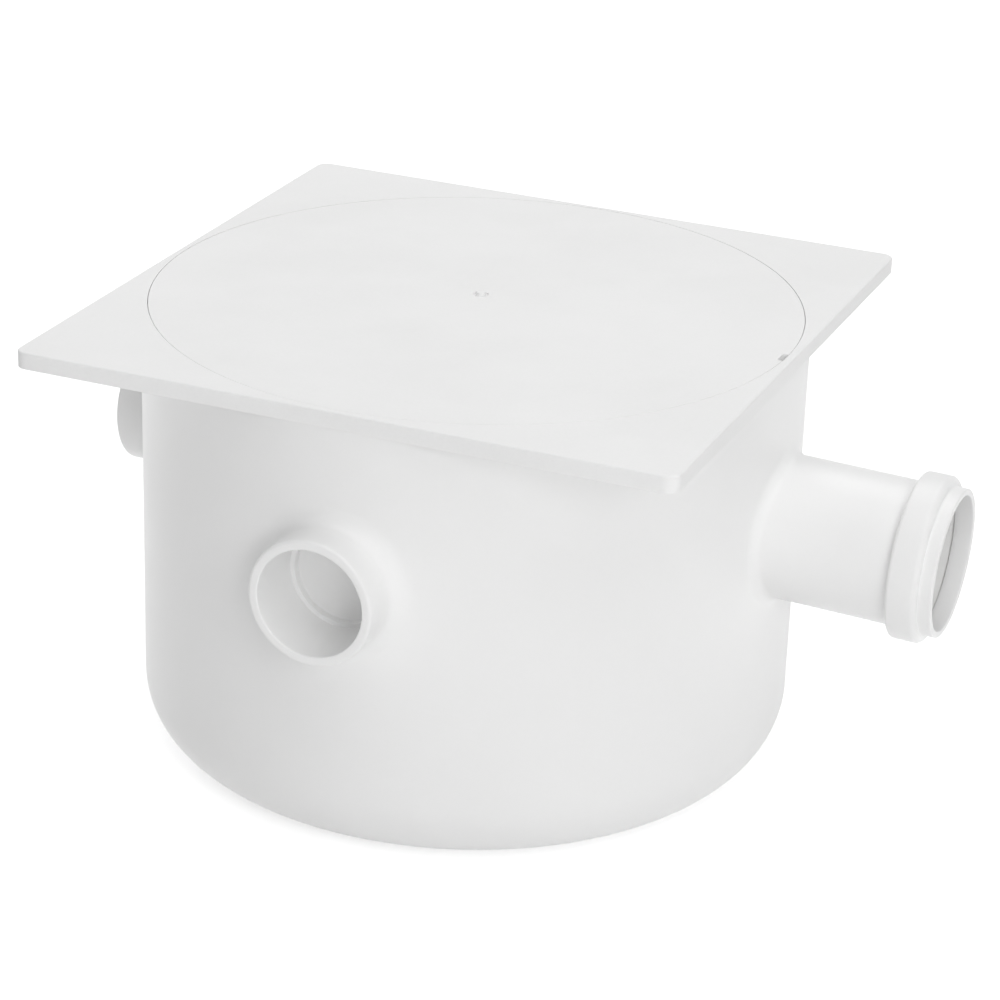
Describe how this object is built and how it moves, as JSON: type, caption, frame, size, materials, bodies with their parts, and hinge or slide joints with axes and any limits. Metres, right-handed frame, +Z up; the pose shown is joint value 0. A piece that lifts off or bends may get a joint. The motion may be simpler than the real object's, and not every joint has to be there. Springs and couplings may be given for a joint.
{
  "type": "gully trap",
  "caption": "Round floor drain box with a square cover frame, a flush round lid, three inlet sockets and a ring-seal outlet socket, with a dip tee inside that holds the water seal.",
  "frame": {"origin": "centre of the flat base", "axes": "+Z up, +X towards the outlet, the three inlets at -Y, +Y and -X"},
  "size_m": [0.3326, 0.2834, 0.1755],
  "materials": {
    "body": "white moulded plastic, satin to glossy",
    "outlet_seal": "pale grey seal rubber",
    "frame": "white moulded plastic, satin",
    "lid": "white moulded plastic, satin",
    "dip_tee": "white moulded plastic",
    "tee_seal": "pale grey seal rubber",
    "cleaning_plug": "white moulded plastic",
    "plug_seal": "pale grey seal rubber"
  },
  "bodies": {
    "root": {"body": "body", "outlet_seal": "outlet_seal", "frame": "frame", "lid": "lid", "dip_tee": "dip_tee", "tee_seal": "tee_seal", "cleaning_plug": "cleaning_plug", "plug_seal": "plug_seal"}
  },
  "joints": []
}
